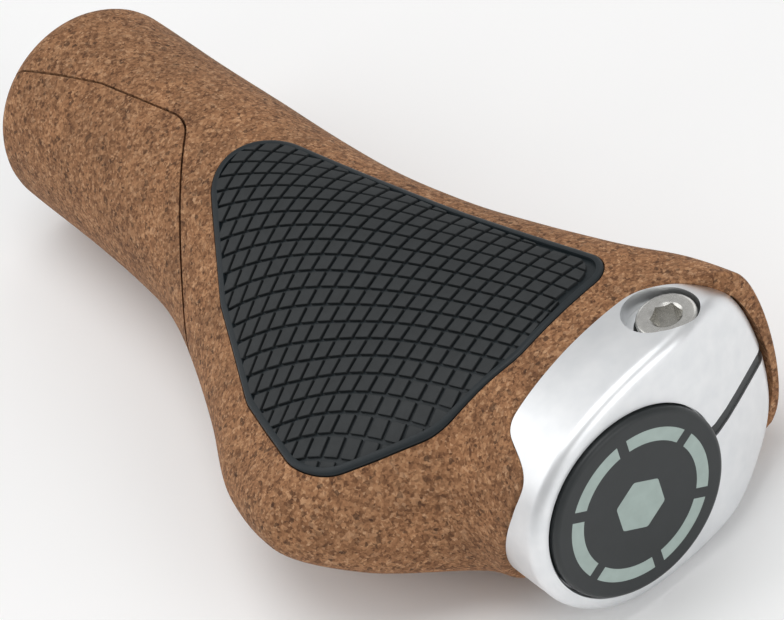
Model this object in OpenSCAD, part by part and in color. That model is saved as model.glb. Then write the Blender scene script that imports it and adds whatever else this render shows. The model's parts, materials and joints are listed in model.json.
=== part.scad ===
// Winged comfort grip for a 22.2 mm handlebar, right-hand side.
// The bar axis is X. x = 0 is the inboard end, +X points outboard, +Y forward and +Z up.
// A cork moulding sits on a stiff core sleeve. A split clamp ring at the outboard end is
// closed by one socket-head bolt, and a plug covers the end of the bar.

/* [Grip] */
// Length from the inboard end to the face of the end plug
grip_len = 135; // [134:0.5:136]
// Diameter of the handlebar
bar_d = 22.2; // [22:0.1:22.4]
// Wall of the stiff core sleeve around the bar
core_wall = 1.5; // [1.2:0.1:1.6]
// Depth of the pocket that holds the rubber pad
pad_depth = 1.6; // [1.2:0.1:2]
// Height of the rubber pad above the cork
pad_proud = 0.3; // [0.1:0.1:0.5]
// Thickness of the cork panel at the inboard end
panel_t = 2; // [1.6:0.2:2.4]
// Width of the open seam around the cork panel
seam = 0.3; // [0.2:0.1:0.4]

/* [Clamp] */
// Distance from the bar axis to the bolt axis
bolt_off = 16.2; // [16:0.1:16.5]
// Width of the slot that lets the clamp close
slot_w = 2; // [1.8:0.2:2.4]
// Thread diameter of the bolt
bolt_d = 5; // [5]
// Length of the bolt under its head
bolt_len = 20; // [18:1:20]
// Key size of the bolt's hexagon socket
hex_key = 4; // [4]

/* [End plug] */
// Radius of the plug's face
plug_r = 14.2; // [14:0.1:14.4]
// Height of the plug's face above the clamp
plug_proud = 1; // [0.6:0.2:1.2]
// Number of arcs in the emblem's ring
emblem_arcs = 6; // [3:1:8]

/* [Detail] */
// Points around each moulded cross-section
ring_n = 60; // [48:12:72]
// Spacing of the moulded cross-sections
ring_gap = 4; // [3:1:6]

/* [Hidden] */
$fn = 64;

cork = [0.55, 0.36, 0.22];
silver = [0.84, 0.86, 0.87];
steel = [0.72, 0.72, 0.7];
black = [0.2, 0.22, 0.23];

fit = 0.05;                            // gap between pieces that are pressed or bonded together
open_gap = 0.2;                        // gap around pieces that come apart
bore_r = bar_d / 2 + fit;
core_r = bore_r + core_wall;

clamp_x = grip_len - plug_proud;       // plane of the clamp's outer rim
core_end_x = clamp_x - 17;             // square end of the core sleeve, where the clamp's bore begins
bar_stop_x = clamp_x - 4;              // where the bar's bore ends, against the plug
recess_x = clamp_x - 1.4;              // floor of the shallow recess for the plug's face
lip_x = clamp_x - 7;                   // end of the cork's lip in front of the jaws
jaw_x = clamp_x - 12.8;                // inboard face of the clamp's jaws
lip_top_z = 13;                        // the cork is solid above this, inboard of the lip's end
ring_x = clamp_x - 7.5;                // where the cork ends behind the ring, at the bar's height
ring_lean = 19;                        // degrees that this end leans outboard towards the top
skin_end_x = clamp_x - 3;              // the cork's skin is cut back from here
collar_r = 13.6;                       // round collar of the clamp that reaches into the cork
dog_w = 6;                             // two dogs on the sleeve keep it from turning in the clamp
dog_len = 3;

face_y = 14.8;                         // in front of this the clamp's outer face slopes back
face_lean = 26;

bolt_x = clamp_x - 6.9;
slot_z = 0.8;
head_r = 0.85 * bolt_d;
head_h = bolt_d;
head_chamfer = 0.5;
head_z = 12.9;                         // underside of the bolt's head
socket_depth = 2.6;
washer_t = 1;
washer_r = 4.5;
sink_r = 4.75;                         // counterbore around the head
relief_h = 1.4;                        // relief beside the head, on its inboard and rear side
seat_z = head_z - washer_t;
thread_pitch = 0.8;
thread_depth = 0.45;
thread_len = 11;
insert_r = 3.4;
insert_len = 9;
insert_z = slot_z - slot_w / 2 - 0.6;  // top of the insert, just below the slot

spigot_r = 11.6;                       // short collar that centres the plug in the clamp
spigot_wall = 2.8;
plug_edge = 0.6;                       // rounding of the plug's rim
tab_gap = 0.1;                         // between the tab and the sides of the slot
tab_sink = 0.3;                        // the plug's tab lies just below the clamp's surface
emblem_r = 11.55;
emblem_w = 2;
emblem_t = 0.3;
emblem_hex_r = 4.2;
emblem_gap = 1.6;

// Cross-sections of the grip: x, then a lobe [y, z, radius] for the barrel, the palm wing,
// the upper front and the lower front. A lobe well inside the outline has no effect on it.
GRIP = [
    [0,   [0, 0, 13.1], [0, 0, 6],         [0, 0, 6],         [0, 0, 6]],
    [1.5, [0, 0, 14.9], [0, 0, 6],         [0, 0, 6],         [0, 0, 6]],
    [4,   [0, 0, 15.9], [0, 0, 7],         [0, 0, 7],         [0, 0, 7]],
    [20,  [0, 0, 16.1], [0, 0, 7],         [0, 0, 7],         [0, 0, 7]],
    [40,  [0, 0, 16.6], [-6.5, 0, 8],      [2, 1.5, 8],       [1, 0, 8]],
    [58,  [0, 0, 16.7], [-13.4, -1, 8],    [4.5, 3.5, 9],     [2, -1, 9]],
    [75,  [0, 0, 16.8], [-21.6, -1, 7.5],  [8, 5.2, 9],       [5, -3, 9]],
    [88,  [0, 0, 16.2], [-29.6, -0.4, 5.8], [11.2, 6.2, 9],   [9, -4, 8]],
    [100, [0, 0, 16],   [-32, 1.6, 5.6],   [14.6, 7.8, 8.5],  [14, -5, 8]],
    [110, [0, 0, 16.5], [-25.4, -0.8, 6],  [18, 9.4, 7.7],    [19, -6, 7]],
    [118, [0, 0, 16.8], [-13.4, -4, 6],    [22.3, 11, 6],     [23.5, -7, 6]],
    [131, [0, 0, 16.8], [-3.5, -3.5, 9],   [25, 12.6, 5.4],   [23.7, -7.4, 6]]
];

// Cross-sections of the clamp: distance from its outer rim, then a lobe for the ring around
// the bar, the bolt's boss, the upper front corner and the lower front corner.
CLAMP = [
    [-13,  [0, 0, 16.8],  [15, 11, 6.4],    [20.6, 10, 6],     [20.8, -4.5, 7.8]],
    [-7,   [0, 0, 16.8],  [15, 11.8, 6.5],  [20.6, 10.3, 6],   [20.8, -4.5, 7.8]],
    [-1,   [0, 0, 16.8],  [15, 11.9, 6.4],  [20.6, 10.3, 6],   [20.8, -4.5, 7.8]],
    [-0.3, [0, 0, 16.5],  [15, 11.8, 6.2],  [20.6, 10.3, 5.7], [20.8, -4.5, 7.5]],
    [0,    [0, 0, 15.9],  [15, 11.6, 5.8],  [20.6, 10.3, 5.1], [20.8, -4.5, 6.9]]
];
blend_k = 0.5;                         // how sharply one lobe takes over from the next

function total(v, i = 0) = i < len(v) ? v[i] + total(v, i + 1) : 0;

// A point of the smooth outline around the lobes, where its outward normal is at angle a
function outline_point(lobes, a) =
    let (reach = [for (l = lobes) l[0] * cos(a) + l[1] * sin(a) + l[2]],
         far = max(reach),
         weight = [for (r = reach) exp(blend_k * (r - far))],
         sum_w = total(weight),
         h = far + ln(sum_w) / blend_k,
         turn = total([for (i = [0:len(lobes) - 1])
             weight[i] * (lobes[i][1] * cos(a) - lobes[i][0] * sin(a))]) / sum_w)
    [h * cos(a) - turn * sin(a), h * sin(a) + turn * cos(a)];

// Slope of a two-column table at row i, chosen so that the curve never overshoots a row
function row_slope(t, i) =
    i == 0 ? (t[1][1] - t[0][1]) / (t[1][0] - t[0][0])
    : i == len(t) - 1 ? (t[i][1] - t[i - 1][1]) / (t[i][0] - t[i - 1][0])
    : let (h0 = t[i][0] - t[i - 1][0],
           h1 = t[i + 1][0] - t[i][0],
           d0 = (t[i][1] - t[i - 1][1]) / h0,
           d1 = (t[i + 1][1] - t[i][1]) / h1)
      d0 * d1 <= 0 ? 0 : 3 * (h0 + h1) / ((2 * h1 + h0) / d0 + (h1 + 2 * h0) / d1);
function row_before(t, x) = max([0, for (i = [0:len(t) - 2]) if (t[i][0] <= x) i]);
function smooth_at(t, x) =
    let (i = row_before(t, x),
         h = t[i + 1][0] - t[i][0],
         s = (x - t[i][0]) / h)
    (1 + 2 * s) * (1 - s) * (1 - s) * t[i][1] + s * (1 - s) * (1 - s) * h * row_slope(t, i)
    + s * s * (3 - 2 * s) * t[i + 1][1] + s * s * (s - 1) * h * row_slope(t, i + 1);
function lobes_at(table, x, grow) = [for (l = [1:len(table[0]) - 1])
    [for (c = [0:2]) smooth_at([for (row = table) [row[0], row[l][c]]], x) + (c == 2 ? grow : 0)]];

// A closed skin through the table's cross-sections. Each place is where a section is drawn and
// which x of the table it takes. grow moves the whole skin out.
module loft(table, places, grow = 0) {
    rings = [for (p = places) let (lobes = lobes_at(table, p[1], grow))
        [for (i = [0:ring_n - 1]) let (q = outline_point(lobes, 360 * i / ring_n)) [p[0], q[0], q[1]]]];
    last = len(places) - 1;
    polyhedron(
        points = [for (r = rings) each r],
        faces = [
            [for (i = [0:ring_n - 1]) i],
            for (j = [0:last - 1], i = [0:ring_n - 1]) let (k = (i + 1) % ring_n)
                each [[j * ring_n + i, (j + 1) * ring_n + i, (j + 1) * ring_n + k],
                      [j * ring_n + i, (j + 1) * ring_n + k, j * ring_n + k]],
            [for (i = [ring_n - 1:-1:0]) last * ring_n + i]
        ]);
}

// Keeps a free-form moulding as one skin
module moulded() { resize([0, 0, 0]) children(); }

grip_x = [for (x = [8:ring_gap:skin_end_x - 2]) x];
module grip_skin() {
    loft(GRIP, [for (x = [0, 0.5, 1.5, 2.6, 4, each grip_x, skin_end_x]) [x, x]]);
}
// The same skin moved in or out, running past both ends
module grip_offset(grow) {
    loft(GRIP, [[-3, 4], [4, 4], for (x = grip_x) [x, x], [skin_end_x + 3, skin_end_x]], grow);
}
clamp_at = [-12.8, -10, -7, -4, -1, -0.6, -0.3, 0];
module clamp_skin(grow = 0) {
    difference() {
        loft(CLAMP, [for (x = clamp_at) [clamp_x + x, x]], grow);
        translate([clamp_x, face_y, 0]) rotate([0, 0, face_lean])
            translate([grow, -50, -50]) cube([50, 100, 100]);
    }
}
// The clamp's outline run straight along X, as the cork's lip sees it
module clamp_prism(grow) {
    loft(CLAMP, [[jaw_x - 1, -8], [clamp_x, -8]], grow);
}

// Turns a shape drawn about Z so that it runs along X from x0
module along_x(x0) { translate([x0, 0, 0]) rotate([0, 90, 0]) children(); }

// Outline from above of the jaws' part of the joint with the cork
module jaw_outline(rear_y, gap) {
    offset(delta = -gap) offset(r = 1) offset(delta = -1) polygon([
        [lip_x + 2, 60], [lip_x + 2, 27.4], [lip_x, 27.4], [lip_x - 0.8, 24.4], [jaw_x + 2, 20.4],
        [jaw_x - 0.2, 15.5], [jaw_x + 0.4, 4], [jaw_x + 1.4, rear_y],
        [lip_x + 2, rear_y - 2.6], [160, rear_y - 38], [160, 60]]);
}
// Everything on the clamp's side of the joint: upper jaw, lower jaw and the leaning end by the ring
module joint_zone(gap = 0) {
    linear_extrude(height = 40) jaw_outline(-9, gap);
    translate([0.25, 0.2, -40]) linear_extrude(height = 40.3) jaw_outline(9, gap);
    translate([ring_x + gap, 0, 0]) rotate([0, ring_lean, 0]) translate([0, -60, -40]) cube([60, 79, 80]);
    translate([lip_x + gap, 18.5, -41]) cube([60, 60, 82]);
}
// The front of the jaws, which the cork's lip covers
module lip_zone(gap = 0) { translate([jaw_x + gap, 19, -40]) cube([40, 40, 40 + lip_top_z - gap]); }

// Outline of the rubber pad from above
module pad_outline(grow = 0) {
    hull() {
        translate([57.2, -1.2]) circle(r = 7.9 + grow);
        translate([110.6, 13.4]) circle(r = 4.3 + grow);
        translate([104.3, -0.5]) circle(r = 12 + grow);
        translate([100.5, -9]) circle(r = 13.8 + grow);
        translate([99.2, -21.8]) circle(r = 8.1 + grow);
        translate([86, -18.6]) circle(r = 8.1 + grow);
        translate([70, -11.6]) circle(r = 7.2 + grow);
    }
}
module pad_block(grow = 0) { linear_extrude(height = 60) pad_outline(grow); }

// Outline of the cork panel from above: it wraps round the back of the inboard end
module panel_outline(grow = 0) {
    hull() {
        translate([-20, -60]) circle(r = 3 + grow);
        translate([-20, -19]) circle(r = 3 + grow);
        translate([8, -11]) circle(r = 3 + grow);
        translate([20, -8]) circle(r = 4.4 + grow);
        translate([35.6, -7.2]) circle(r = 6 + grow);
        translate([58, -25]) circle(r = 3 + grow);
        translate([58, -60]) circle(r = 3 + grow);
    }
}
module panel_block(grow = 0) { translate([0, 0, -50]) linear_extrude(height = 100) panel_outline(grow); }

// Stiffening plate of the core that reaches into the palm wing
module wing_plate(grow = 0) {
    translate([0, 0, -1.2 - grow]) linear_extrude(height = 2.4 + 2 * grow) hull() {
        translate([60, -9]) circle(r = 2 + grow);
        translate([90, -27]) circle(r = 3 + grow);
        translate([101, -28]) circle(r = 3 + grow);
        translate([110, -9]) circle(r = 2 + grow);
    }
}

module dogs(gap = 0) {
    for (side = [-1, 1])
        translate([core_end_x - 1, -dog_w / 2 - gap, side > 0 ? 0 : -core_r - gap])
            cube([dog_len + 1 + gap, dog_w + 2 * gap, core_r + gap]);
}

module bolt_axis() { translate([bolt_x, bolt_off, 0]) children(); }

module cork_body() {
    color(cork) difference() {
        moulded() difference() {
            grip_skin();
            joint_zone();
            intersection() { clamp_prism(open_gap); lip_zone(); }
            difference() { pad_block(fit); grip_offset(-pad_depth); }
            difference() { panel_block(seam); grip_offset(-panel_t); }
            wing_plate(fit);
            along_x(-1) cylinder(r = core_r - 0.5, h = grip_len);
        }
        along_x(-1) cylinder(r = core_r + fit, h = grip_len);
        along_x(core_end_x - fit) cylinder(r = collar_r + open_gap, h = 20);
    }
}

module cork_panel() {
    color(cork * 0.92) difference() {
        moulded() intersection() {
            difference() { grip_skin(); grip_offset(-panel_t + fit); }
            panel_block();
        }
        along_x(-1) cylinder(r = core_r + fit, h = grip_len);
    }
}

module rubber_pad() {
    color(black) moulded() intersection() {
        difference() { grip_offset(pad_proud); grip_offset(-pad_depth + fit); }
        pad_block();
    }
}

module core_sleeve() {
    color([0.12, 0.12, 0.13]) difference() {
        union() {
            along_x(0) cylinder(r = core_r, h = core_end_x - fit);
            wing_plate();
            intersection() { dogs(); along_x(0) cylinder(r = core_r, h = grip_len); }
        }
        along_x(-1) cylinder(r = bore_r, h = grip_len);
    }
}

module clamp_ring() {
    color(silver) difference() {
        moulded() difference() {
            union() {
                intersection() {
                    clamp_skin();
                    union() { joint_zone(open_gap / 2); lip_zone(open_gap / 2); }
                }
                along_x(core_end_x) cylinder(r = collar_r, h = clamp_x - core_end_x - 5);
            }
            dogs(fit);
            translate([core_end_x - 1, 5, slot_z - slot_w / 2]) cube([40, 40, slot_w]);
        }
        along_x(core_end_x - 1) cylinder(r = bore_r, h = bar_stop_x - core_end_x + 2);
        along_x(bar_stop_x) cylinder(r = spigot_r + open_gap, h = 10);
        along_x(recess_x) cylinder(r = plug_r + open_gap, h = 10);
        bolt_axis() {
            translate([0, 0, slot_z]) cylinder(r = bolt_d / 2 + 0.3, h = 20);
            translate([0, 0, seat_z]) cylinder(r = sink_r, h = 20);
            translate([-0.2, -1.3, head_z + head_h - relief_h]) cylinder(r = sink_r, h = 20);
            translate([0, 0, insert_z - insert_len - fit]) cylinder(r = insert_r + fit, h = insert_len + 2);
        }
    }
}

module thread_insert() {
    color(steel) bolt_axis() translate([0, 0, insert_z - insert_len]) difference() {
        cylinder(r = insert_r, h = insert_len);
        translate([0, 0, -1]) cylinder(r = bolt_d / 2 + fit, h = insert_len + 2);
    }
}

module bolt_washer() {
    color(steel) bolt_axis() translate([0, 0, seat_z]) difference() {
        cylinder(r = washer_r, h = washer_t);
        translate([0, 0, -1]) cylinder(r = bolt_d / 2 + fit, h = washer_t + 2);
    }
}

// Half-profile of the bolt: head with a chamfered rim, shank and thread ridges down to the tip
module bolt_profile() {
    tip = -bolt_len;
    polygon([
        [0, head_h], [head_r - head_chamfer, head_h], [head_r, head_h - head_chamfer], [head_r, 0],
        [bolt_d / 2, 0],
        for (i = [0:floor(thread_len / thread_pitch) - 1]) let (z = tip + thread_len - i * thread_pitch)
            each [[bolt_d / 2, z], [bolt_d / 2 - thread_depth, z - thread_pitch / 2]],
        [bolt_d / 2 - thread_depth, tip], [0, tip]]);
}
module clamp_bolt() {
    color(steel) bolt_axis() translate([0, 0, head_z]) difference() {
        rotate_extrude() bolt_profile();
        translate([0, 0, head_h - socket_depth]) cylinder(d = hex_key / cos(30), h = 5, $fn = 6);
    }
}

// Emblem on the plug: a ring of equal arcs around a hexagon
module emblem(height, grow = 0) {
    along_x(grip_len - emblem_t) {
        difference() {
            cylinder(r = emblem_r + grow, h = height);
            translate([0, 0, -1]) cylinder(r = emblem_r - emblem_w - grow, h = height + 2);
            for (i = [0:emblem_arcs - 1]) rotate(360 * i / emblem_arcs)
                translate([0, -emblem_gap / 2 + grow, -1]) cube([20, emblem_gap - 2 * grow, height + 2]);
        }
        cylinder(r = emblem_hex_r + grow, h = height, $fn = 6);
    }
}

module plug_disc() {
    along_x(recess_x + fit) rotate_extrude() let (h = grip_len - recess_x - fit) polygon([
        [0, 0], [plug_r, 0],
        for (a = [0:30:90]) [plug_r - plug_edge + plug_edge * cos(a), h - plug_edge + plug_edge * sin(a)],
        [0, h]]);
}
// Tab that fills the clamp's slot in front of and outboard of the bolt
module slot_tab() {
    moulded() intersection() {
        clamp_skin(-tab_sink);
        translate([0, 0, slot_z - slot_w / 2 + tab_gap]) linear_extrude(height = slot_w - 2 * tab_gap)
            polygon([
                [bolt_x + 3.2, spigot_r + 0.4], [bolt_x + 3.2, bolt_off + 3.2], [bolt_x - 1, bolt_off + 3.6],
                [bolt_x - 1, 40], [clamp_x, 40], [clamp_x, spigot_r + 0.4]]);
    }
}
module end_plug() {
    color(black) difference() {
        union() {
            plug_disc();
            along_x(bar_stop_x + fit) cylinder(r = spigot_r, h = recess_x - bar_stop_x);
            slot_tab();
        }
        along_x(bar_stop_x - 1) cylinder(r = spigot_r - spigot_wall, h = recess_x - bar_stop_x + 1);
        emblem(2 * emblem_t, 0.01);
    }
}

module plug_emblem() { color([0.66, 0.72, 0.7]) translate([0.01, 0, 0]) emblem(emblem_t - 0.01); }

cork_body();
cork_panel();
rubber_pad();
core_sleeve();
clamp_ring();
thread_insert();
bolt_washer();
clamp_bolt();
end_plug();
plug_emblem();
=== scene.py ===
"""The looks of a winged cork handlebar grip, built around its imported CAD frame.

Lengths are in millimetres, in the CAD frame, until mesh_object() turns them into metres:
X runs along the bar, outboard, Y forward and Z up.
"""

import json
import math

import bmesh
import bpy
import numpy as np
from mathutils import Matrix, Vector


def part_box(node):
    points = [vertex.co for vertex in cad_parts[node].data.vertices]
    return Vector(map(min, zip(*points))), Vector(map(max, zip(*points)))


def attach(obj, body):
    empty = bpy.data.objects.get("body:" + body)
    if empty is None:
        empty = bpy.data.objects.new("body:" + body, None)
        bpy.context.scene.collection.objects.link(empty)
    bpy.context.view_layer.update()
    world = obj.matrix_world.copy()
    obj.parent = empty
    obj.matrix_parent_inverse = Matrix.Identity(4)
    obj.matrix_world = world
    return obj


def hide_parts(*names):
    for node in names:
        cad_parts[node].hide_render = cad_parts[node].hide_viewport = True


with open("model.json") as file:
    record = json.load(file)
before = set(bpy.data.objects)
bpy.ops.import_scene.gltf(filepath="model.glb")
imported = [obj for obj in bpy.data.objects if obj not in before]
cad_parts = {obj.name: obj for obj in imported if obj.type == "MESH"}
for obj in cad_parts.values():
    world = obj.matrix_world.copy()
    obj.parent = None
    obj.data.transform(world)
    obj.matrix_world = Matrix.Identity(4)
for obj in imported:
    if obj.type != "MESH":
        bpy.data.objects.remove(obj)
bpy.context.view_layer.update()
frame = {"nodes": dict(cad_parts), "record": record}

MM = 0.001
TURN = 2 * math.pi


def box_mm(node):
    """A CAD node's lowest and highest corners."""
    low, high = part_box(node)
    return np.array(low) / MM, np.array(high) / MM


# ---------------------------------------------------------------- sizes

plug_low, plug_high = box_mm("end_plug")
bolt_low, bolt_high = box_mm("clamp_bolt")
bore_mount = frame["record"]["mounts"][0]["dims"]

grip_len = plug_high[0]
bore_r = bore_mount["r_mm"]
bar_stop_x = bore_mount["length_mm"]  # where the bar's end meets the plug
fit = 0.05  # gap between pieces that are pressed or bonded together
open_gap = 0.2  # gap around pieces that come apart
plug_proud = 1
clamp_x = grip_len - plug_proud  # plane of the clamp's outer rim
core_r = bore_r + 1.5
collar_r = 13.6  # round collar of the clamp that reaches into the cork
collar_x = clamp_x - 17
recess_x = clamp_x - 1.4  # floor of the shallow recess for the plug's face
lip_x = clamp_x - 7  # end of the cork's lip in front of the jaws
lip_y = 19
lip_top_z = 13
jaw_x = clamp_x - 12.8  # inboard face of the clamp's jaws
ring_x = clamp_x - 7.5  # where the cork ends behind the ring, at the bar's height
ring_lean = math.radians(19)  # this end leans outboard towards the top
skin_end_x = clamp_x - 3
face_y = 14.8  # in front of this the clamp's outer face slopes back
face_slope = math.tan(math.radians(26))
panel_t = 2
seam = 0.36
pad_depth = 1.2
pad_proud = 0.3

bolt_x = (bolt_low[0] + bolt_high[0]) / 2
bolt_y = (bolt_low[1] + bolt_high[1]) / 2
head_top = bolt_high[2]
head_r = (bolt_high[0] - bolt_low[0]) / 2
head_z = head_top - 5  # underside of the bolt's head
key_size = 4
slot_z = 0.8
slot_w = 2
sink_r = 4.75  # counterbore around the head
insert_r = 3.4
insert_bottom = -9.8
plug_r = 14.2
spigot_r = 11.6  # short collar that centres the plug in the clamp
hollow_r = 8.8

# Cross-sections of the grip: x, then a lobe [y, z, radius] for the barrel, the palm wing,
# the upper front and the lower front. A lobe well inside the outline has no effect on it.
GRIP = [
    [0, [0, 0, 13.1], [0, 0, 6], [0, 0, 6], [0, 0, 6]],
    [1.5, [0, 0, 14.9], [0, 0, 6], [0, 0, 6], [0, 0, 6]],
    [4, [0, 0, 15.9], [0, 0, 7], [0, 0, 7], [0, 0, 7]],
    [20, [0, 0, 16.1], [0, 0, 7], [0, 0, 7], [0, 0, 7]],
    [40, [0, 0, 16.6], [-6.5, 0, 8], [2, 1.5, 8], [1, 0, 8]],
    [58, [0, 0, 16.7], [-13.4, -1, 8], [4.5, 3.5, 9], [2, -1, 9]],
    [75, [0, 0, 16.8], [-21.6, -1, 7.5], [8, 5.2, 9], [5, -3, 9]],
    [88, [0, 0, 16.2], [-29.6, -0.4, 5.8], [11.2, 6.2, 9], [9, -4, 8]],
    [100, [0, 0, 16], [-32, 1.6, 5.6], [14.6, 7.8, 8.5], [14, -5, 8]],
    [110, [0, 0, 16.5], [-25.4, -0.8, 6], [18, 9.4, 7.7], [19, -6, 7]],
    [118, [0, 0, 16.8], [-13.4, -4, 6], [22.3, 11, 6], [23.5, -7, 6]],
    [131, [0, 0, 16.8], [-3.5, -3.5, 9], [25, 12.6, 5.4], [23.7, -7.4, 6]],
]
# Cross-sections of the clamp: x, then a lobe for the ring around the bar, the bolt's boss,
# the upper front corner and the lower front corner.
CLAMP = [
    [clamp_x - 14, [0, 0, 16.8], [15, 11, 6.4], [20.6, 10, 6], [20.8, -4.5, 7.8]],
    [clamp_x - 7, [0, 0, 16.8], [15, 11.8, 6.5], [20.6, 10.3, 6], [20.8, -4.5, 7.8]],
    [clamp_x - 1, [0, 0, 16.8], [15, 11.9, 6.4], [20.6, 10.3, 6], [20.8, -4.5, 7.8]],
    [clamp_x + 1, [0, 0, 16.8], [15, 11.9, 6.4], [20.6, 10.3, 6], [20.8, -4.5, 7.8]],
]
BLEND = 0.5  # how sharply one lobe takes over from the next


# ---------------------------------------------------------------- surfaces

def curve_through(table, x):
    """Every number of the table at x, on curves that never overshoot a row."""
    rows = np.array([[row[0], *(v for lobe in row[1:] for v in lobe)] for row in table], float)
    at, value = rows[:, 0], rows[:, 1:]
    step = np.diff(at)[:, None]
    rise = np.diff(value, axis=0) / step
    slope = np.zeros_like(value)
    slope[0], slope[-1] = rise[0], rise[-1]
    for i in range(1, len(at) - 1):
        h0, h1, d0, d1 = step[i - 1], step[i], rise[i - 1], rise[i]
        same = d0 * d1 > 0
        d0, d1 = np.where(same, d0, 1), np.where(same, d1, 1)
        slope[i] = np.where(same, 3 * (h0 + h1) / ((2 * h1 + h0) / d0 + (h1 + 2 * h0) / d1), 0)
    i = np.clip(np.searchsorted(at, x, side="right") - 1, 0, len(at) - 2)
    h = step[i]
    s = (x[:, None] - at[i][:, None]) / h
    ahead = s * s * (3 - 2 * s) * value[i + 1] + s * s * (s - 1) * h * slope[i + 1]
    return (1 + 2 * s) * (1 - s) ** 2 * value[i] + s * (1 - s) ** 2 * h * slope[i] + ahead


def reach(table, x, angle):
    """How far the section at x reaches in the direction angle, and how fast that turns."""
    lobe = curve_through(table, x).reshape(-1, 4, 3)
    c, s = np.cos(angle)[:, None], np.sin(angle)[:, None]
    far = lobe[:, :, 0] * c + lobe[:, :, 1] * s + lobe[:, :, 2]
    most = far.max(1, keepdims=True)
    weight = np.exp(BLEND * (far - most))
    total = weight.sum(1)
    turn = (weight * (lobe[:, :, 1] * c - lobe[:, :, 0] * s)).sum(1) / total
    return most[:, 0] + np.log(total) / BLEND, turn


def section_points(table, x, angle, grow=0.0, at_x=None):
    """Points of the skin at x whose outward normal is at angle, moved out by grow."""
    x, angle, grow = (v.ravel() for v in np.broadcast_arrays(x, angle, grow))
    h, turn = reach(table, np.asarray(x, float), angle)
    h = h + grow
    y = h * np.cos(angle) - turn * np.sin(angle)
    z = h * np.sin(angle) + turn * np.cos(angle)
    return np.stack([x if at_x is None else at_x, y, z], -1)


def on_top(x, y, height=0.0):
    """Points on the grip's upper skin above (x, y), moved out by height along the skin's normal."""
    x, y = np.asarray(x, float), np.asarray(y, float)
    low, high = np.zeros_like(x), np.full_like(x, math.pi)
    for _ in range(32):
        angle = (low + high) / 2
        in_front = section_points(GRIP, x, angle)[:, 1] > y
        low, high = np.where(in_front, angle, low), np.where(in_front, high, angle)
    point = section_points(GRIP, x, angle)
    taper = (reach(GRIP, x + 0.2, angle)[0] - reach(GRIP, x - 0.2, angle)[0]) / 0.4
    normal = np.stack([-taper, np.cos(angle), np.sin(angle)], -1)
    normal /= np.linalg.norm(normal, axis=1, keepdims=True)
    return point + normal * np.asarray(height)[..., None]


# ---------------------------------------------------------------- meshes

def mesh_object(name, points, faces):
    mesh = bpy.data.meshes.new(name)
    mesh.from_pydata((np.asarray(points, float) * MM).tolist(), [], faces)
    made = bpy.data.objects.new(name, mesh)
    bpy.context.scene.collection.objects.link(made)
    work = bmesh.new()
    work.from_mesh(mesh)
    bmesh.ops.recalc_face_normals(work, faces=work.faces)
    work.to_mesh(mesh)
    work.free()
    return made


def skin(name, rings, loop=False):
    """A closed skin through rings of points. The last ring meets the first, or both ends are capped."""
    rings = np.asarray(rings, float)
    rows, n = rings.shape[:2]
    here = np.arange(rows * n).reshape(rows, n)
    if loop:
        here = np.vstack([here, here[:1]])
    side = np.roll(here, -1, 1)
    faces = np.stack([here[:-1], side[:-1], side[1:], here[1:]], -1).reshape(-1, 4).tolist()
    if not loop:
        faces += [here[0][::-1].tolist(), here[-1].tolist()]
    return mesh_object(name, rings.reshape(-1, 3), faces)


def lathe(name, profile, centre=(0, 0, 0), axis="X", n=192):
    """A round piece. The profile has points (distance along the axis, radius)."""
    profile = np.array(profile, float)
    a = np.arange(n) * TURN / n
    along = np.repeat(profile[:, :1], n, 1)
    first, second = profile[:, 1:] * np.cos(a), profile[:, 1:] * np.sin(a)
    order = [along, first, second] if axis == "X" else [first, second, along]
    return skin(name, np.stack(order, -1) + np.array(centre, float))


def prism(name, outline, low, high, axis="Z"):
    """An outline, in (x, y) or for axis X in (y, z), drawn out from low to high."""
    outline = np.array(outline, float)
    level = np.ones(len(outline))
    columns = [outline[:, 0], outline[:, 1]]
    rings = []
    for at in (low, high):
        rings.append(np.stack(columns + [level * at] if axis == "Z" else [level * at] + columns, -1))
    return skin(name, rings)


def block(name, low, high):
    (x0, y0, z0), (x1, y1, z1) = low, high
    return prism(name, [(x0, y0), (x1, y0), (x1, y1), (x0, y1)], z0, z1)


def remove(*made):
    for o in made:
        bpy.data.objects.remove(o)


def bake(o):
    """Turns an object's modifiers into its mesh."""
    graph = bpy.context.evaluated_depsgraph_get()
    mesh = bpy.data.meshes.new_from_object(o.evaluated_get(graph))
    o.modifiers.clear()
    o.data = mesh


def combine(o, tool, operation="DIFFERENCE", keep=False):
    change = o.modifiers.new(operation, "BOOLEAN")
    change.operation, change.object, change.solver = operation, tool, "MANIFOLD"
    bake(o)
    if not keep:
        remove(tool)
    return o


def copy_of(o):
    made = o.copy()
    made.data = o.data.copy()
    bpy.context.scene.collection.objects.link(made)
    return made


def smooth(o, sharp_from=35):
    o.data.shade_smooth()
    o.data.set_sharp_from_angle(angle=math.radians(sharp_from))
    return o


def hull(circles, grow=0.0):
    """Outline of a taut band around circles (x, y, radius)."""
    a = np.radians(np.arange(0, 360, 4))
    points = sorted({
        (round(x + (r + grow) * c, 6), round(y + (r + grow) * s, 6))
        for x, y, r in circles
        for c, s in zip(np.cos(a), np.sin(a))
    })

    def half(seq):
        kept = []
        for p in seq:
            while len(kept) > 1:
                (x0, y0), (x1, y1) = kept[-2:]
                if (x1 - x0) * (p[1] - y0) - (y1 - y0) * (p[0] - x0) > 0:
                    break
                kept.pop()
            kept.append(p)
        return kept[:-1]

    return np.array(half(points) + half(points[::-1]))


def evenly(outline, n):
    """n points at equal spacing round a closed outline."""
    closed = np.vstack([outline, outline[:1]])
    along = np.concatenate([[0], np.cumsum(np.linalg.norm(np.diff(closed, axis=0), axis=1))])
    at = np.linspace(0, along[-1], n, endpoint=False)
    return np.stack([np.interp(at, along, closed[:, i]) for i in (0, 1)], -1)


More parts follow.
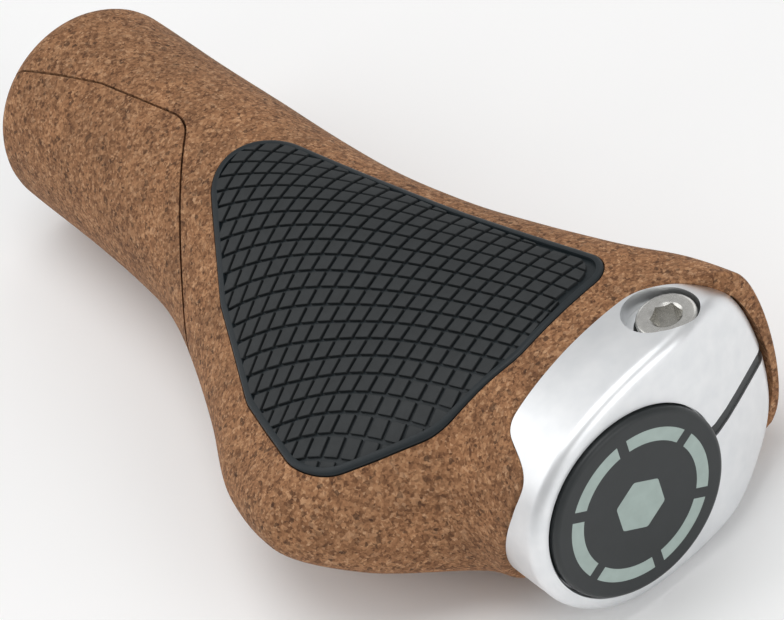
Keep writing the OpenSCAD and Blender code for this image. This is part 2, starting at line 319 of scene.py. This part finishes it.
def rounded(points, cut, closed=False):
    """A line whose corners are rounded, each over a length cut on both sides."""
    points = np.array(points, float)
    made = [] if closed else [points[0]]
    for i in range(0 if closed else 1, len(points) - (0 if closed else 1)):
        corner, before, after = points[i], points[i - 1], points[(i + 1) % len(points)]
        start, end = (
            corner + (side - corner) * min(0.48, cut / np.linalg.norm(side - corner))
            for side in (before, after)
        )
        for t in np.linspace(0, 1, 9):
            made.append((1 - t) ** 2 * start + 2 * t * (1 - t) * corner + t * t * end)
    return np.array(made if closed else made + [points[-1]])


# ---------------------------------------------------------------- joint of cork and clamp

def jaw_line(rear_points):
    """The jaws' inboard edge from above, from the front to the rear, as points (x, y)."""
    front = [(lip_x, 27.4), (lip_x - 0.8, 24.4), (jaw_x + 2, 20.4), (jaw_x - 0.2, 15.5)]
    return rounded(front + rear_points, 2)


UPPER_JAW = jaw_line([
    (jaw_x + 0.4, 4), (jaw_x + 1.4, -9), (clamp_x - 5.4, -11.5), (clamp_x - 4.1, -13.2), (clamp_x - 5.5, -16),
])
LOWER_JAW = jaw_line([(jaw_x + 0.5, 9.6), (lip_x + 2, 6.8)])


def joint_x(y, z):
    """Where the cork ends along X."""
    upper = np.interp(y, UPPER_JAW[::-1, 1], UPPER_JAW[::-1, 0])
    lower = np.interp(y, LOWER_JAW[::-1, 1], LOWER_JAW[::-1, 0])
    behind = np.where(y < lip_y, ring_x + z * math.tan(ring_lean), lip_x)
    return np.minimum(np.where(z > 0, upper, lower), behind)


def clamp_side(gap):
    """Everything on the clamp's side of the joint."""
    far = [(160, -48), (160, 60), (lip_x + 2, 60), (lip_x + 2, 27.4)]
    shift = np.array([gap, 0])
    made = prism("joint", np.vstack([UPPER_JAW, far]) + shift, 0, 40)
    lower = prism("lower", np.vstack([LOWER_JAW, [(160, -30)], far[1:]]) + shift + 0.01, -40, 0.3)
    x = ring_x + gap
    wedge = prism("wedge", [(-60, -40), (lip_y, -40), (lip_y, 40), (-60, 40)], x, x + 60, axis="X")
    for v in wedge.data.vertices:
        v.co.x += v.co.z * math.tan(ring_lean)
    front = block("front", (lip_x + gap, 18.5, -41), (lip_x + 60, 60, 41))
    for tool in (lower, wedge, front):
        combine(made, tool, "UNION")
    return made


# ---------------------------------------------------------------- cork

# Outlines of the panel and the pad from above, as circles x, y, radius that a band is drawn round
PANEL = [
    (-20, -60, 3), (-20, -19, 3), (8, -11, 3), (20, -8, 4.4), (35.6, -7.2, 6), (58, -25, 3), (58, -60, 3),
]
PAD = [
    (57.2, -1.2, 7.9), (110.6, 13.4, 4.3), (104.3, -0.5, 12), (100.5, -9, 13.8),
    (99.2, -21.8, 8.1), (86, -18.6, 8.1), (70, -11.6, 7.2),
]
# The tread stays further back from the border in the pad's front corner
TREAD = [(x - 1.2, y - 1, r) if y > 10 else (x, y, r) for x, y, r in PAD]
cork_round = 0.8  # rounding of the cork's edge at the clamp


def grip_solid(name, grow=0.0, past=0.0, n=360):
    """The grip's outer skin as a solid. past runs it straight on past both ends."""
    angle = np.arange(n) * TURN / n
    inboard = [0, 0.12, 0.3, 0.55, 0.85, 1.2, 1.6, 2, 2.5, 3.2, 4]
    x = np.concatenate([inboard, np.arange(5, 118.5, 1), np.arange(118.7, skin_end_x, 0.28), [skin_end_x]])
    if past:
        x = np.concatenate([np.arange(4, skin_end_x, 1.5), [skin_end_x]])
    points = section_points(GRIP, x[:, None], angle[None, :], grow)
    if not past:
        # the edge that meets the clamp is rounded
        left = np.clip(joint_x(points[:, 1], points[:, 2]) - points[:, 0], 0, cork_round)
        inward = cork_round - np.sqrt(cork_round**2 - (cork_round - left) ** 2)
        inward = np.minimum(inward, cork_round * 0.97)
        points = section_points(GRIP, x[:, None], angle[None, :], grow - inward.reshape(len(x), n))
    rings = points.reshape(len(x), n, 3)
    if past:
        first, last = rings[:1].copy(), rings[-1:].copy()
        first[..., 0], last[..., 0] = -past, skin_end_x + past
        rings = np.concatenate([first, rings, last])
    return skin(name, rings)


def pad_cutter(grow, depth):
    """The pad's outline from above, down to depth under the skin."""
    outline = evenly(hull(PAD, grow), 240)
    centre = outline.mean(0)
    rings = []
    for share in np.linspace(0.02, 1, 40):
        x, y = (centre + (outline - centre) * share).T
        rings.append(on_top(x, y, np.full(len(x), -depth)))
    top = rings[-1].copy()
    top[:, :2] = outline
    rings[-1][:, :2] = outline
    top[:, 2] = 40
    lid = top.copy()
    lid[:, :2] = centre + (outline - centre) * 0.02
    return skin("pad_cutter", rings + [top, lid])


def build_cork():
    n = 240
    angle = np.arange(n) * TURN / n
    whole = grip_solid("cork_whole")
    under_lip = skin("under_lip", [
        section_points(CLAMP, np.full(n, clamp_x - 8), angle, open_gap, np.full(n, x))
        for x in (jaw_x - 1, clamp_x + 2)
    ])
    combine(under_lip, block("lip_box", (jaw_x, lip_y, -40), (jaw_x + 40, 60, lip_top_z)), "INTERSECT")
    core_cut = lathe("core_cut", [
        (-1, core_r + fit), (collar_x - fit, core_r + fit),
        (collar_x - fit, collar_r + open_gap), (grip_len, collar_r + open_gap),
    ])
    inner = grip_solid("inner", -panel_t, past=4)
    panel_zone = prism("panel_zone", hull(PANEL), -50, 50)
    panel_cut = prism("panel_cut", hull(PANEL, seam), -50, 50)
    combine(panel_cut, inner, keep=True)
    combine(panel_zone, inner)

    panel = copy_of(whole)
    panel.name = "cork_panel_skin"
    combine(panel, panel_zone, "INTERSECT")
    combine(panel, copy_of(core_cut))

    combine(whole, clamp_side(0))
    combine(whole, under_lip)
    combine(whole, panel_cut)
    combine(whole, pad_cutter(0.12, pad_depth))
    combine(whole, core_cut)
    whole.name = "cork_shell"
    return smooth(whole), smooth(panel)


# ---------------------------------------------------------------- pad

band = 1.05  # width of the smooth border
tread_floor = -0.25
tread_top = 0.27
tread_centre = (85, -8)
tread_unit = 20
# How many rows and columns of the tread lie between the centre and a point, from the
# point's distances u and v from the centre: terms in u, v, u*u, u*v and v*v
TREAD_ROWS = (3.71, -6.8, -0.43, -0.34, -1.17)
TREAD_COLUMNS = (7.58, 2.03, -0.14, -0.34, -0.73)
groove_rows, groove_columns = 0.16, 0.21  # the grooves' share of the pitch
tread_start = (0.55, 0.2)


def tread_count(terms, u, v):
    p, q, pp, pq, qq = terms
    return p * u + q * v + pp * u * u + pq * u * v + qq * v * v


def tread_slope(terms, u, v):
    p, q, pp, pq, qq = terms
    return p + 2 * pp * u + pq * v, q + pq * u + 2 * qq * v


def tread_point(row, column):
    """Where a row and a column of the tread cross, as (x, y) from above."""
    u = np.zeros_like(row)
    v = np.zeros_like(row)
    for _ in range(12):
        miss_row = tread_count(TREAD_ROWS, u, v) - row
        miss_column = tread_count(TREAD_COLUMNS, u, v) - column
        ru, rv = tread_slope(TREAD_ROWS, u, v)
        cu, cv = tread_slope(TREAD_COLUMNS, u, v)
        det = ru * cv - rv * cu
        det = np.where(np.abs(det) < 5, 5 * np.sign(det - 1e-9), det)
        u = np.clip(u - (miss_row * cv - miss_column * rv) / det, -3, 3)
        v = np.clip(v - (miss_column * ru - miss_row * cu) / det, -3, 3)
    return np.stack([tread_centre[0] + tread_unit * u, tread_centre[1] + tread_unit * v], -1)


def clip(polygon, outline):
    """The part of a polygon inside a convex outline that runs anticlockwise."""
    for (x0, y0), (x1, y1) in zip(outline, np.roll(outline, -1, 0)):
        kept = []
        side = [(x1 - x0) * (y - y0) - (y1 - y0) * (x - x0) for x, y in polygon]
        for i, (p, s) in enumerate(zip(polygon, side)):
            q, t = polygon[i - 1], side[i - 1]
            if (s >= 0) != (t >= 0):
                share = t / (t - s)
                kept.append((q[0] + (p[0] - q[0]) * share, q[1] + (p[1] - q[1]) * share))
            if s >= 0:
                kept.append(p)
        polygon = kept
        if len(polygon) < 3:
            return []
    return polygon


def tidy_polygon(polygon, least=0.12):
    """Drops points that nearly coincide."""
    kept = []
    for p in polygon:
        if not kept or math.dist(p, kept[-1]) > least:
            kept.append(p)
    if len(kept) > 1 and math.dist(kept[0], kept[-1]) <= least:
        kept.pop()
    return kept


def tread_tiles(inside):
    """Outlines of the tread's tiles."""
    rows, columns = np.meshgrid(np.arange(-18, 18), np.arange(-24, 24), indexing="ij")
    rows, columns = rows.ravel() + tread_start[0], columns.ravel() + tread_start[1]
    r, c = groove_rows / 2, groove_columns / 2
    corners = [
        tread_point(rows + row, columns + column)
        for row, column in ((r, c), (r, 1 - c), (1 - r, 1 - c), (1 - r, c))
    ]
    tiles = []
    for tile in np.stack(corners, 1):
        size = np.linalg.norm(tile - np.roll(tile, 1, 0), axis=1)
        if size.max() > 5 or size.min() < 1:
            continue  # the curves fold over themselves far outside the pad
        (x0, y0), (x1, y1) = tile[1] - tile[0], tile[3] - tile[0]
        if x0 * y1 - y0 * x1 < 0:
            tile = tile[::-1]
        kept = tidy_polygon(clip([tuple(p) for p in tile], inside))
        if len(kept) < 3:
            continue
        x, y = np.array(kept).T
        area = 0.5 * np.sum(x * np.roll(y, -1) - np.roll(x, -1) * y)
        if area > 0.35:
            tiles.append((np.array(kept), area))
    return tiles


def build_pad():
    outline = evenly(hull(PAD), 360)
    # the border's section: distance in from the edge and height over the cork
    profile = [
        (0, -pad_depth + fit), (0, pad_proud - 0.42), (0.05, pad_proud - 0.2), (0.18, pad_proud - 0.06),
        (0.38, pad_proud), (band - 0.12, pad_proud), (band - 0.03, pad_proud - 0.04),
        (band, pad_proud - 0.14), (band + 0.03, tread_floor),
    ]
    rings = []
    for inset, height in profile:
        x, y = evenly(hull(PAD, -inset), 360).T
        rings.append(on_top(x, y, np.full(360, height)))
    inner = evenly(hull(PAD, -band - 0.03), 360)
    centre = inner.mean(0)
    for share in np.linspace(0.97, 0.02, 45):
        x, y = (centre + (inner - centre) * share).T
        rings.append(on_top(x, y, np.full(360, tread_floor)))
    for share in np.linspace(0.02, 0.98, 30):
        x, y = (centre + (outline - centre) * share).T
        rings.append(on_top(x, y, np.full(360, -pad_depth + fit)))
    base = smooth(skin("rubber_pad_base", rings, loop=True))

    points, faces = [], []
    bevel = ((0, tread_floor - 0.05), (0.01, tread_top - 0.09), (0.05, tread_top - 0.02), (0.14, tread_top))
    for tile, area in tread_tiles(hull(TREAD, -band + 0.15)):
        middle = tile.mean(0)
        edge = np.linalg.norm(tile - np.roll(tile, 1, 0), axis=1).sum()
        inradius = 2 * area / edge
        first, n = len(points), len(tile)
        for inset, height in bevel:
            x, y = (middle + (tile - middle) * max(0.2, 1 - inset / inradius)).T
            points.extend(on_top(x, y, np.full(n, height)))
        for k in range(len(bevel) - 1):
            for i in range(n):
                j = (i + 1) % n
                low, high = first + k * n, first + (k + 1) * n
                faces.append([low + i, low + j, high + j, high + i])
        faces.append([first + i for i in range(n)][::-1])
        faces.append([first + (len(bevel) - 1) * n + i for i in range(n)])
    tread = smooth(mesh_object("rubber_pad_tread", points, faces), 50)
    return base, tread


# ---------------------------------------------------------------- clamp

edge_round = 1.8  # rounding between the side wall and the outer face
face_soft = 3  # how softly the outer face turns back
joint_gap = 0.12  # open seam between clamp and cork
dog_half = 3.05  # half the width of the notches for the sleeve's dogs


def face_x(y, sink=0.0):
    """The clamp's outer face, with a soft crease where it starts to slope back."""
    t = y - face_y
    return clamp_x - sink - face_slope * (t + np.sqrt(t * t + face_soft**2)) / 2


def clamp_solid(name, sink=0.0, n=480):
    """The clamp's outer shape, from inboard of the jaws to its outer face. sink shrinks it."""
    angle = np.arange(n) * TURN / n
    start = np.full(n, jaw_x - 1.5)

    def wall(x, inward=0.0):
        """Points of the side wall at x, and how far x is from the outer face there."""
        return section_points(CLAMP, x, angle, -sink - inward)

    top = np.full(n, clamp_x)
    for _ in range(12):
        top = face_x(wall(top)[:, 1], sink)
    rings = [wall(start + (top - edge_round - start) * s) for s in np.linspace(0, 1, 40)]
    for a in np.radians(np.arange(9, 91, 9)):
        inward = edge_round * (1 - math.cos(a))
        x = top
        for _ in range(8):
            x = face_x(wall(x, inward)[:, 1], sink) - edge_round * (1 - math.sin(a))
        rings.append(wall(x, inward))
    rim = rings[-1]
    for share in (0.93, 0.85, 0.76, 0.66, 0.56, 0.46, 0.36, 0.26, 0.16, 0.08, 0.02):
        ring = rim * share
        ring[:, 0] = face_x(ring[:, 1], sink)
        rings.append(ring)
    return skin(name, rings)


def cylinder_z(name, radius, low, high, x=0.0, y=0.0, n=128):
    return lathe(name, [(low, radius), (high, radius)], (bolt_x + x, bolt_y + y, 0), "Z", n)


def build_clamp():
    body = clamp_solid("clamp_shell")
    zone = clamp_side(joint_gap)
    combine(zone, block("lip_box", (jaw_x + 0.1, lip_y, -40), (jaw_x + 40, 60, lip_top_z - 0.1)), "UNION")
    combine(body, zone, "INTERSECT")
    combine(body, lathe("collar", [(collar_x, collar_r), (clamp_x - 5, collar_r)]), "UNION")
    for middle_z in (-6, 6):
        low = (collar_x - 1, -dog_half, middle_z - 8)
        combine(body, block("dog", low, (collar_x + dog_half, dog_half, middle_z + 8)))
    low = (collar_x - 1, 5, slot_z - slot_w / 2)
    combine(body, block("slot", low, (grip_len + 5, 45, slot_z + slot_w / 2)))
    seat_r, recess_r = spigot_r + open_gap, plug_r + open_gap
    combine(body, lathe("bore", [
        (collar_x - 1, bore_r), (bar_stop_x, bore_r), (bar_stop_x, seat_r), (recess_x, seat_r),
        (recess_x, recess_r), (clamp_x - 0.3, recess_r), (clamp_x - 0.05, recess_r + 0.2),
        (clamp_x + 5, plug_r + 5),
    ]))
    combine(body, cylinder_z("bolt_hole", 2.8, slot_z, 30))
    combine(body, cylinder_z("counterbore", sink_r, head_z - 1, 30))
    combine(body, cylinder_z("relief", sink_r, head_top - 1.6, 30, -0.7, -0.9))
    combine(body, cylinder_z("insert_pocket", insert_r + fit, insert_bottom - 0.1, 1.2))
    return smooth(body, 28)


# ---------------------------------------------------------------- bolt

thread_pitch = 0.8
thread_depth = 0.45
thread_len = 11
shank_r = 2.5


def build_bolt():
    tip = bolt_low[2]
    n = 96
    head = lathe("bolt_head", [
        (head_z, shank_r - 0.1), (head_z, head_r - 0.15), (head_z + 0.15, head_r), (head_top - 0.45, head_r),
        (head_top - 0.25, head_r - 0.05), (head_top - 0.1, head_r - 0.17), (head_top - 0.02, head_r - 0.36),
        (head_top, head_r - 0.55),
    ], (bolt_x, bolt_y, 0), "Z", 160)
    corner = key_size / math.cos(math.radians(30)) / 2
    key = [(bolt_x + corner * math.cos(a), bolt_y + corner * math.sin(a)) for a in np.arange(6) * TURN / 6]
    combine(head, prism("key", key, head_top - 2.6, head_top + 1))
    combine(head, lathe("key_lead", [(head_top - 0.3, 1.95), (head_top + 0.05, 2.45), (head_top + 1, 2.45)],
                        (bolt_x, bolt_y, 0), "Z", 96))
    angle = np.arange(n) * TURN / n
    rings = []
    threaded = np.arange(tip + 0.1, tip + thread_len, 0.08)
    for z in np.concatenate([[tip, tip + 0.02], threaded, [head_z + 0.1]]):
        turn = ((z - tip) / thread_pitch - angle / TURN) % 1
        depth = thread_depth * np.abs(2 * turn - 1)
        share = np.clip((tip + thread_len - z) / thread_pitch, 0, 1)
        radius = shank_r - depth * share
        if z < tip + 0.4:
            radius = np.minimum(radius, shank_r - thread_depth - 0.2 + (z - tip) * 0.8)
        x, y = bolt_x + radius * np.cos(angle), bolt_y + radius * np.sin(angle)
        rings.append(np.stack([x, y, np.full(n, z)], -1))
    combine(head, skin("shank", rings), "UNION")
    head.name = "bolt_socket_head"
    return smooth(head, 30)


# ---------------------------------------------------------------- plug

rim_round = 0.8
tab_sink = 0.3  # the tab in the slot lies just below the clamp's surface
tab_gap = 0.1
emblem_r = 11.55
emblem_w = 2
emblem_arcs = 6
emblem_gap = 1.6
emblem_hex_r = 4.2
emblem_t = 0.3


def emblem_outlines():
    """The emblem's arcs and hexagon, as outlines in (y, z)."""
    found = []
    for i in range(emblem_arcs):
        start, end = i * TURN / emblem_arcs, (i + 1) * TURN / emblem_arcs
        outline = []
        for radius, direction in ((emblem_r, 1), (emblem_r - emblem_w, -1)):
            trim = math.asin(emblem_gap / 2 / radius)
            a = np.linspace(start + trim, end - trim, 32)[::direction]
            outline += list(zip(radius * np.sin(a), -radius * np.cos(a)))
        found.append(outline)
    corners = [(emblem_hex_r * math.sin(a), -emblem_hex_r * math.cos(a)) for a in np.arange(6) * TURN / 6]
    found.append(rounded(corners, 0.35, closed=True))
    return found


def build_plug():
    r = rim_round
    rim = [
        (grip_len - r + r * math.sin(a), plug_r - r + r * math.cos(a))
        for a in np.radians(np.arange(0, 91, 10))
    ]
    disc = lathe("plug_disc", [
        (bar_stop_x + fit, hollow_r), (bar_stop_x + fit, spigot_r),
        (recess_x + fit, spigot_r), (recess_x + fit, plug_r), *rim,
    ], n=288)
    combine(disc, lathe("hollow", [(bar_stop_x - 1, hollow_r), (recess_x, hollow_r)]))
    tab = clamp_solid("tab", tab_sink, 240)
    outline = [(bolt_x + 3.2, spigot_r + 0.4), (bolt_x + 3.2, bolt_y + 3.2), (bolt_x - 1, bolt_y + 3.6),
               (bolt_x - 1, 45), (clamp_x, 45), (clamp_x, spigot_r + 0.4)]
    low, high = slot_z - slot_w / 2 + tab_gap, slot_z + slot_w / 2 - tab_gap
    combine(tab, prism("tab_zone", outline, low, high), "INTERSECT")
    combine(disc, tab, "UNION")
    emblem = None
    for i, outline in enumerate(emblem_outlines()):
        combine(disc, prism("pocket", outline, grip_len - emblem_t, grip_len + 1, axis="X"))
        piece = prism(f"emblem_{i}", outline, grip_len - emblem_t + 0.01, grip_len - 0.005, axis="X")
        emblem = piece if emblem is None else combine(emblem, piece, "UNION")
    emblem.name = "plug_mark"
    disc.name = "plug_body"
    return smooth(disc, 25), smooth(emblem, 30)


# ---------------------------------------------------------------- materials

class Paint:
    """A material's nodes. Each method adds one and returns its output."""

    def __init__(self, name, rough, metal=0.0, **inputs):
        self.material = bpy.data.materials.new(name)
        self.material.use_nodes = True
        self.tree = self.material.node_tree
        self.shader = self.tree.nodes["Principled BSDF"]
        self.shader.inputs["Roughness"].default_value = rough
        self.shader.inputs["Metallic"].default_value = metal
        for key, value in inputs.items():
            self.shader.inputs[key.replace("_", " ")].default_value = value
        self.place = self.add("ShaderNodeTexCoord").outputs["Object"]

    def add(self, kind, **settings):
        made = self.tree.nodes.new(kind)
        for key, value in settings.items():
            setattr(made, key, value)
        return made

    def put(self, target, value):
        if isinstance(value, bpy.types.NodeSocket):
            self.tree.links.new(value, target)
        else:
            target.default_value = value

    def stretched(self, scale):
        node = self.add("ShaderNodeMapping")
        self.put(node.inputs["Vector"], self.place)
        node.inputs["Scale"].default_value = scale
        return node.outputs["Vector"]

    def noise(self, size_mm, detail=3, rough=0.55, where=None):
        """Soft noise with features about size_mm across."""
        node = self.add("ShaderNodeTexNoise")
        self.put(node.inputs["Vector"], where or self.place)
        node.inputs["Scale"].default_value = 1 / (size_mm * MM)
        node.inputs["Detail"].default_value = detail
        node.inputs["Roughness"].default_value = rough
        return node.outputs["Fac"]

    def cells(self, size_mm, output="Color", where=None):
        """Cells about size_mm across, each with its own colour."""
        node = self.add("ShaderNodeTexVoronoi")
        self.put(node.inputs["Vector"], where or self.place)
        node.inputs["Scale"].default_value = 1 / (size_mm * MM)
        return node.outputs[output]

    def ramp(self, value, stops):
        """Colours (place from 0 to 1, rgb) that the value picks from."""
        node = self.add("ShaderNodeValToRGB")
        self.put(node.inputs["Fac"], value)
        for i, (at, colour) in enumerate(stops):
            e = node.color_ramp.elements[i] if i < 2 else node.color_ramp.elements.new(at)
            e.position = at
            e.color = (*colour, 1)
        return node.outputs["Color"]

    def math(self, operation, a, b):
        node = self.add("ShaderNodeMath", operation=operation)
        self.put(node.inputs[0], a)
        self.put(node.inputs[1], b)
        return node.outputs[0]

    def mix(self, share, a, b, blend="MIX"):
        node = self.add("ShaderNodeMix", data_type="RGBA", blend_type=blend)
        self.put(node.inputs["Factor"], share)
        named = [i for i in node.inputs if i.type == "RGBA"]
        self.put(named[0], a if isinstance(a, bpy.types.NodeSocket) else (*a, 1))
        self.put(named[1], b if isinstance(b, bpy.types.NodeSocket) else (*b, 1))
        return next(o for o in node.outputs if o.type == "RGBA")

    def channel(self, colour, which="Red"):
        node = self.add("ShaderNodeSeparateColor")
        self.put(node.inputs["Color"], colour)
        return node.outputs[which]

    def moved(self, amount_mm, size_mm):
        """The place, pushed about by noise so that cells lose their straight edges."""
        noise = self.add("ShaderNodeTexNoise")
        self.put(noise.inputs["Vector"], self.place)
        noise.inputs["Scale"].default_value = 1 / (size_mm * MM)
        noise.inputs["Detail"].default_value = 2
        scale = self.add("ShaderNodeVectorMath", operation="SCALE")
        self.put(scale.inputs[0], noise.outputs["Color"])
        scale.inputs["Scale"].default_value = amount_mm * MM
        total = self.add("ShaderNodeVectorMath", operation="ADD")
        self.put(total.inputs[0], self.place)
        self.put(total.inputs[1], scale.outputs[0])
        return total.outputs[0]

    def relief(self, height, depth_mm):
        node = self.add("ShaderNodeBump")
        node.inputs["Distance"].default_value = depth_mm * MM
        self.put(node.inputs["Height"], height)
        self.put(self.shader.inputs["Normal"], node.outputs["Normal"])

    def mottle(self, size_mm, colour, dark, light, detail=3):
        """The surface's colour, drifting between a darker and a lighter shade of one colour."""
        shades = [(0.3, tuple(dark * v for v in colour)), (0.7, tuple(light * v for v in colour))]
        self.colour(self.ramp(self.noise(size_mm, detail), shades))

    def colour(self, value):
        self.put(self.shader.inputs["Base Color"], value)

    def roughness(self, value):
        self.put(self.shader.inputs["Roughness"], value)


def cork_paint(name, tone=1.0):
    """Moulded cork granulate: crumbs of many browns, with small dark pits between them."""
    p = Paint(name, 0.82, Specular_IOR_Level=0.25)
    where = p.moved(0.5, 0.5)
    browns = [(0.0, (0.085, 0.036, 0.018)), (0.2, (0.17, 0.078, 0.036)), (0.45, (0.27, 0.13, 0.062)),
              (0.7, (0.35, 0.175, 0.085)), (0.9, (0.45, 0.245, 0.125)), (1.0, (0.55, 0.33, 0.19))]
    browns = [(at, tuple(tone * v for v in c)) for at, c in browns]
    coarse = p.ramp(p.channel(p.cells(0.75, where=where)), browns)
    fine = p.ramp(p.channel(p.cells(0.34, where=where), "Green"), browns)
    crumbs = p.mix(0.6, coarse, fine)
    specks = p.channel(p.cells(0.62, where=where), "Blue")
    dark = p.ramp(specks, [(0.0, (1, 1, 1)), (0.1, (0, 0, 0))])
    crumbs = p.mix(p.math("MULTIPLY", dark, 0.75), crumbs, tuple(tone * v for v in (0.055, 0.026, 0.014)))
    cloud = p.ramp(p.noise(9, 2), [(0.3, (0.86, 0.86, 0.86)), (0.7, (1.1, 1.08, 1.05))])
    p.colour(p.mix(1.0, crumbs, cloud, "MULTIPLY"))
    edge = p.cells(0.62, "Distance", where=where)
    pits = p.math("ADD", p.math("MULTIPLY", edge, -0.8), p.noise(0.25, 3, 0.7))
    p.relief(pits, 0.07)
    return p.material


def rubber_paint(name, colour, rough):
    """Dark soft rubber with a fine moulded grain."""
    p = Paint(name, rough, Specular_IOR_Level=0.35)
    p.mottle(1.6, colour, 0.88, 1.12)
    p.roughness(p.math("ADD", p.math("MULTIPLY", p.noise(0.5, 2), 0.14), rough - 0.07))
    p.relief(p.noise(0.18, 3, 0.6), 0.012)
    return p.material


def aluminium_paint():
    """Fine-brushed, anodised aluminium."""
    p = Paint("clamp_aluminium", 0.4, 1.0)
    p.colour(p.ramp(p.noise(3, 2), [(0.3, (0.8, 0.815, 0.83)), (0.7, (0.86, 0.87, 0.88))]))
    lines = p.noise(0.12, 2, 0.5, p.stretched((1, 1, 0.03)))
    p.roughness(p.math("ADD", p.math("MULTIPLY", lines, 0.12), 0.36))
    p.relief(p.math("ADD", p.math("MULTIPLY", lines, 0.6), p.noise(0.1, 2)), 0.004)
    return p.material


def steel_paint(name, colour, rough):
    """Plain steel with faint turning marks and wear."""
    p = Paint(name, rough, 1.0)
    dirt = p.noise(1.2, 4)
    p.colour(p.ramp(dirt, [(0.25, tuple(0.8 * v for v in colour)), (0.6, colour)]))
    p.roughness(p.math("ADD", p.math("MULTIPLY", p.noise(0.35, 3), 0.18), rough - 0.08))
    p.relief(p.noise(0.14, 2), 0.004)
    return p.material


def plastic_paint(name, colour, rough, grain_mm=0.16, depth_mm=0.01):
    """Moulded plastic with a fine eroded grain."""
    p = Paint(name, rough, Specular_IOR_Level=0.45)
    p.mottle(2.2, colour, 0.93, 1.06)
    p.roughness(p.math("ADD", p.math("MULTIPLY", p.noise(0.4, 2), 0.12), rough - 0.06))
    p.relief(p.noise(grain_mm, 2, 0.5), depth_mm)
    return p.material


def floor_paint():
    p = Paint("floor", 0.9)
    p.colour(p.ramp(p.noise(60, 2), [(0.3, (0.96, 0.96, 0.96)), (0.7, (0.98, 0.98, 0.98))]))
    return p.material


def paint(o, material):
    o.data.materials.clear()
    o.data.materials.append(material)


# ---------------------------------------------------------------- assembly

def place(piece, name, body, node, material):
    piece.name = name
    paint(piece, material)
    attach(piece, body)
    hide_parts(node)


bright_steel = steel_paint("bolt_steel", (0.7, 0.69, 0.66), 0.24)
plain_steel = steel_paint("stainless", (0.6, 0.6, 0.58), 0.38)
cork_shell, panel_skin = build_cork()
place(cork_shell, "cork_shell", "grip", "cork_body", cork_paint("cork"))
place(panel_skin, "cork_panel_skin", "grip", "cork_panel", cork_paint("cork_panel", 0.97))
pad_base, pad_tread = build_pad()
border_rubber = rubber_paint("rubber_border", (0.009, 0.014, 0.017), 0.46)
tread_rubber = rubber_paint("rubber_tread", (0.022, 0.025, 0.0265), 0.6)
place(pad_base, "pad_border", "grip", "rubber_pad", border_rubber)
place(pad_tread, "pad_tread", "grip", "rubber_pad", tread_rubber)
place(build_clamp(), "clamp_body", "grip", "clamp_ring", aluminium_paint())
place(build_bolt(), "socket_bolt", "bolt", "clamp_bolt", bright_steel)
plug_body, plug_mark = build_plug()
dark_plastic = plastic_paint("plug", (0.02, 0.0235, 0.0245), 0.42)
pale_plastic = plastic_paint("emblem", (0.36, 0.44, 0.41), 0.5)
place(plug_body, "plug_body", "plug", "end_plug", dark_plastic)
place(plug_mark, "plug_mark", "plug", "plug_emblem", pale_plastic)
paint(frame["nodes"]["core_sleeve"], plastic_paint("core_nylon", (0.018, 0.018, 0.019), 0.5, 0.3, 0.02))
paint(frame["nodes"]["thread_insert"], plain_steel)
paint(frame["nodes"]["bolt_washer"], plain_steel)
for node in ("core_sleeve", "thread_insert", "bolt_washer"):
    smooth(frame["nodes"][node], 30)

# ---------------------------------------------------------------- stage, light and camera


def stage_floor():
    low = min(box_mm(node)[0][2] for node in ("cork_body", "clamp_ring"))
    far = 3000
    corners = [(-far, -far, low), (far, -far, low), (far, far, low), (-far, far, low)]
    made = mesh_object("floor", corners, [(0, 1, 2, 3)])
    paint(made, floor_paint())


def soft_light(name, at, size, power, aim=(80, 0, 0)):
    data = bpy.data.lights.new(name, "AREA")
    data.shape = "DISK"
    data.size = size * MM
    data.energy = power
    made = bpy.data.objects.new(name, data)
    bpy.context.scene.collection.objects.link(made)
    made.location = Vector(at) * MM
    made.rotation_euler = (Vector(aim) - Vector(at)).to_track_quat("-Z", "Y").to_euler()


def studio():
    world = bpy.data.worlds.new("studio")
    bpy.context.scene.world = world
    world.use_nodes = True
    background = world.node_tree.nodes["Background"]
    background.inputs["Color"].default_value = (1, 1, 1, 1)
    background.inputs["Strength"].default_value = 0.5
    soft_light("top", (60, -60, 700), 500, 1.7)
    soft_light("left", (-350, -450, 420), 700, 1.2)
    soft_light("right", (600, 100, 250), 400, 0.7)
    soft_light("rear", (-200, 500, 350), 400, 0.25)
    soft_light("under", (100, -100, -600), 500, 0.5)
    bpy.context.scene.view_settings.view_transform = "Standard"


def camera():
    right = Vector((0.5908, 0.7663, -0.2525))
    up = Vector((-0.4283, 0.563, 0.7068))
    back = Vector((0.6838, -0.3094, 0.6609))
    data = bpy.data.cameras.new("camera")
    data.lens, data.sensor_width, data.sensor_fit = 225, 36, "HORIZONTAL"
    data.clip_start, data.clip_end = 0.01, 50
    made = bpy.data.objects.new("camera", data)
    bpy.context.scene.collection.objects.link(made)
    made.matrix_world = Matrix.Translation(Vector((547.2, -211.0, 454.3)) * MM) @ Matrix(
        (right, up, back)).transposed().to_4x4()
    bpy.context.scene.camera = made


stage_floor()
studio()
camera()
